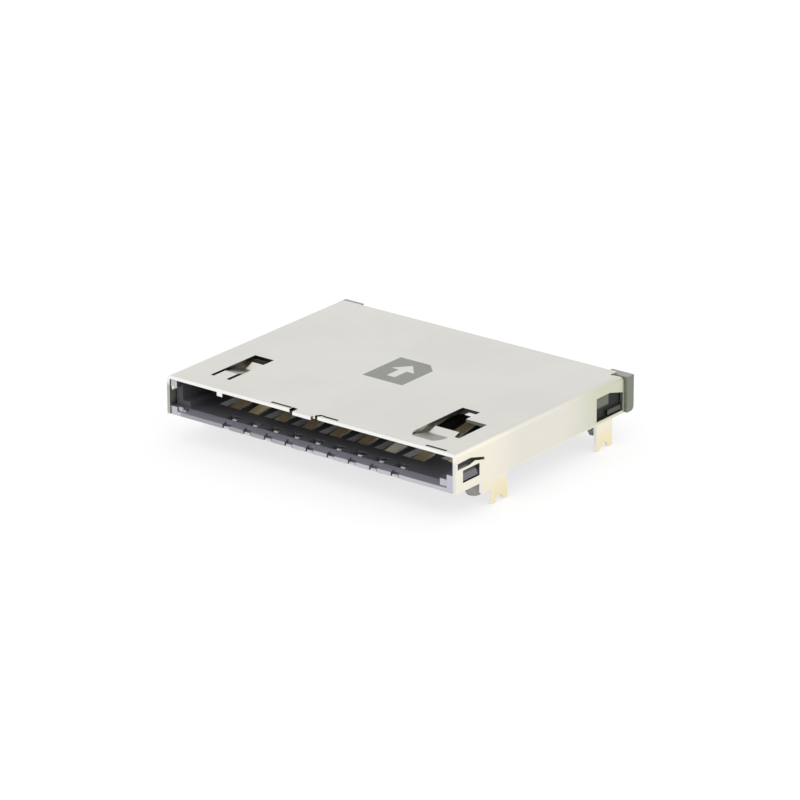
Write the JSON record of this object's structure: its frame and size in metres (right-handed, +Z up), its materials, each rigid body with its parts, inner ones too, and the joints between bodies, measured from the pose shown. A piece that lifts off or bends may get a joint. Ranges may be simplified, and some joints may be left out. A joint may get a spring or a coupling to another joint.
{
  "type": "sd card socket",
  "caption": "Low board socket that takes a full-size memory card edge-on, with a sheet-metal shell on forked solder legs and sprung contacts in a moulded base.",
  "frame": {"origin": "on the board face, under the middle of the shell across the card and from its front to its rear edge", "axes": "+X to the right across the card, seen from the mouth; +Y the way the card goes in; +Z up from the board"},
  "size_m": [0.0267, 0.0212, 0.0051],
  "materials": {
    "sheet_nickel": "satin nickel plate",
    "black_moulding": "matt moulded",
    "contact_gold": "gold flash",
    "spring_bronze": "bright"
  },
  "bodies": {
    "root": {"shell": "sheet_nickel", "housing": "black_moulding", "contact_9": "contact_gold", "contact_1": "contact_gold", "contact_2": "contact_gold", "contact_3": "contact_gold", "contact_4": "contact_gold", "contact_5": "contact_gold", "contact_6": "contact_gold", "contact_7": "contact_gold", "contact_8": "contact_gold", "write_protect_spring": "spring_bronze", "write_protect_terminal": "spring_bronze", "card_detect_spring": "spring_bronze", "card_detect_terminal": "spring_bronze", "card_lock_spring": "spring_bronze"}
  },
  "joints": []
}
